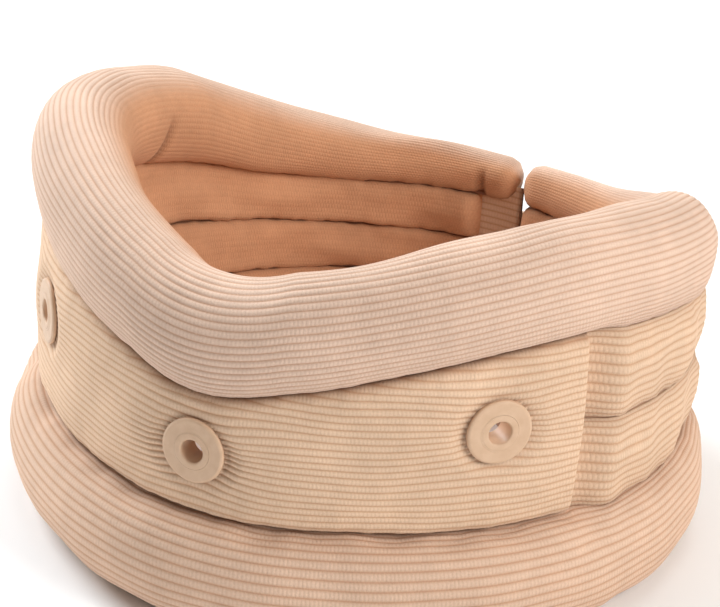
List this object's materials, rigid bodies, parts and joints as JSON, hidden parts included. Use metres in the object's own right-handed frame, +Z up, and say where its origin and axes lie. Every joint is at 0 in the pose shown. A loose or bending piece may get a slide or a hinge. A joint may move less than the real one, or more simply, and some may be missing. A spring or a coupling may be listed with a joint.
{
  "type": "cervical collar",
  "caption": "Soft foam cervical collar with thick rolls in ribbed knit, a stiffened front panel with vent eyelets, flexing wings and a hook strap behind the neck.",
  "frame": {"origin": "centre of the bounding box's bottom, on the surface that the lower roll stands on", "axes": "+Z up, -Y towards the chin, +Y towards the closure behind the neck, X across the neck"},
  "size_m": [0.1864, 0.1908, 0.1076],
  "materials": {
    "ribbed_knit": "fine-ribbed stockinette knit, matt",
    "foam": "open-cell polyurethane foam",
    "plate_plastic": "semi-stiff polyethylene sheet",
    "eyelet_plastic": "smooth moulded plastic, satin",
    "strap_webbing": "woven tape",
    "hook_tape": "hook fastener tape",
    "loop_tape": "brushed loop tape",
    "thread": "twisted polyester thread"
  },
  "bodies": {
    "front": {"lower_roll_cover_front": "ribbed_knit", "lower_roll_foam_front": "foam", "lower_channel_cover_front": "ribbed_knit", "lower_channel_foam_front": "foam", "upper_channel_cover_front": "ribbed_knit", "upper_channel_foam_front": "foam", "upper_roll_cover_front": "ribbed_knit", "upper_roll_foam_front": "foam", "support_plate": "plate_plastic", "support_panel_cover": "ribbed_knit", "panel_hem_left": "ribbed_knit", "panel_hem_right": "ribbed_knit", "vent_eyelet_left": "eyelet_plastic", "eyelet_washer_left": "eyelet_plastic", "vent_eyelet_center": "eyelet_plastic", "eyelet_washer_center": "eyelet_plastic", "vent_eyelet_right": "eyelet_plastic", "eyelet_washer_right": "eyelet_plastic"},
    "left_wing": {"lower_roll_cover_left": "ribbed_knit", "lower_roll_foam_left": "foam", "lower_channel_cover_left": "ribbed_knit", "lower_channel_foam_left": "foam", "upper_channel_cover_left": "ribbed_knit", "upper_channel_foam_left": "foam", "upper_roll_cover_left": "ribbed_knit", "upper_roll_foam_left": "foam", "end_hem_left": "ribbed_knit", "strap_anchor": "strap_webbing", "closure_stitching": "thread"},
    "right_wing": {"lower_roll_cover_right": "ribbed_knit", "lower_roll_foam_right": "foam", "lower_channel_cover_right": "ribbed_knit", "lower_channel_foam_right": "foam", "upper_channel_cover_right": "ribbed_knit", "upper_channel_foam_right": "foam", "upper_roll_cover_right": "ribbed_knit", "upper_roll_foam_right": "foam", "loop_patch": "loop_tape"},
    "strap": {"closure_strap": "strap_webbing", "hook_pad": "hook_tape"}
  },
  "joints": [
    {"name": "left_wing_flex", "type": "hinge", "parent": "front", "child": "left_wing", "pos_m": [-0.09287, 0.01197, 0.04], "axis": [0, 0, 1], "range_deg": [0, 35]},
    {"name": "right_wing_flex", "type": "hinge", "parent": "front", "child": "right_wing", "pos_m": [0.09287, 0.01197, 0.04], "axis": [0, 0, 1], "range_deg": [-35, 0]},
    {"name": "strap_peel", "type": "hinge", "parent": "left_wing", "child": "strap", "pos_m": [-0.00077, 0.09538, 0.033], "axis": [0, 0, 1], "range_deg": [0, 120]}
  ],
  "couplings": [
    {"joint": "right_wing_flex", "follows": "left_wing_flex", "ratio": -1}
  ]
}
